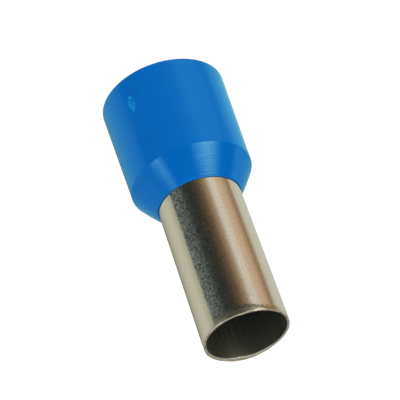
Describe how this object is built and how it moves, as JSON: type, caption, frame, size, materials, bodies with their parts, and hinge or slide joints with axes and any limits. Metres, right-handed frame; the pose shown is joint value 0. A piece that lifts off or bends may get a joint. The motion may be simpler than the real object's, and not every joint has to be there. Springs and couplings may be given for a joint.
{
  "type": "wire ferrule",
  "caption": "Insulated wire-end ferrule: a thin tinned copper sleeve with a flared entry, held in a blue plastic collar that takes the wire's insulation.",
  "frame": {"origin": "centre of the collar's open rim, on the surface that the ferrule stands on", "axes": "+Z runs along the ferrule's axis, from the wire entry in the collar to the open tip of the pin. X and Y are free, because the ferrule is round."},
  "size_m": [0.0098, 0.0098, 0.022],
  "materials": {
    "tinned_copper": "soft copper tube with a matt tin plating",
    "blue_plastic": "moulded polypropylene in blue, softly glossy"
  },
  "bodies": {
    "root": {"copper_sleeve": "tinned_copper", "plastic_collar": "blue_plastic"}
  },
  "joints": []
}
